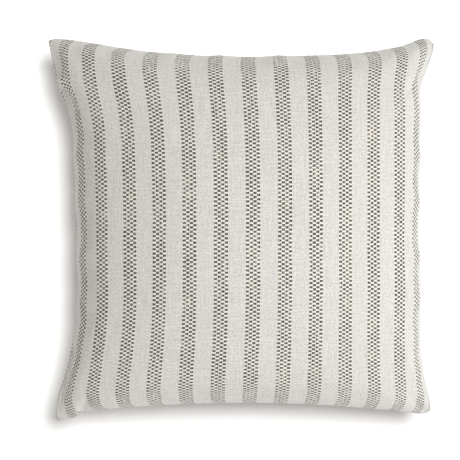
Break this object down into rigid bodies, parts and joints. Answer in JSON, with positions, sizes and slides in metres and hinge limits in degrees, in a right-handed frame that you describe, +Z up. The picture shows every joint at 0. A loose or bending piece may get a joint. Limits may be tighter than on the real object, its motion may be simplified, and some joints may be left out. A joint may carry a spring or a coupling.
{
  "type": "throw pillow",
  "caption": "Square plump throw pillow in a striped woven cotton cover with soft pointed corners and a hidden zip along one seam.",
  "frame": {"origin": "on the surface that the pillow rests on, under the middle of the box around its seam outline", "axes": "+Z up through the striped front, +Y towards the pillow's top edge, along its stripes, +X to the right seen from above; the zip is in the -Y seam"},
  "size_m": [0.478, 0.47, 0.17],
  "materials": {
    "cover_cotton": "matte",
    "cotton_thread": "matte",
    "label_satin": "satin",
    "zip_tape": "matte",
    "zip_nylon": "satin",
    "zip_metal": "gloss",
    "insert_ticking": "matte",
    "insert_filling": "matte"
  },
  "bodies": {
    "pillow": {"care_label": "label_satin", "cover_back_panel": "cover_cotton", "cover_front_panel": "cover_cotton", "cover_overlock_thread": "cotton_thread", "cover_seam_thread": "cotton_thread", "filling": "insert_filling", "insert_back_ticking": "insert_ticking", "insert_closing_stitch": "cotton_thread", "insert_front_ticking": "insert_ticking", "insert_label": "label_satin", "insert_seam_thread": "cotton_thread", "zip_bottom_stop": "zip_metal", "zip_coil_back": "zip_nylon", "zip_coil_front": "zip_nylon", "zip_stitching_back": "cotton_thread", "zip_stitching_front": "cotton_thread", "zip_tape_back": "zip_tape", "zip_tape_front": "zip_tape", "zip_top_stop_back": "zip_metal", "zip_top_stop_front": "zip_metal"},
    "slider": {"zip_slider": "zip_metal"},
    "pull": {"zip_pull": "zip_metal"}
  },
  "joints": [
    {"name": "slider_travel", "type": "hinge", "parent": "pillow", "child": "slider", "pos_m": [0, -1.963, 0.075], "axis": [0, 0, -1], "range_deg": [0, 11.01]},
    {"name": "pull_swing", "type": "hinge", "parent": "slider", "child": "pull", "pos_m": [-0.16791, -0.22143, 0.075], "axis": [0, 0, -1], "range_deg": [0, 175]}
  ]
}
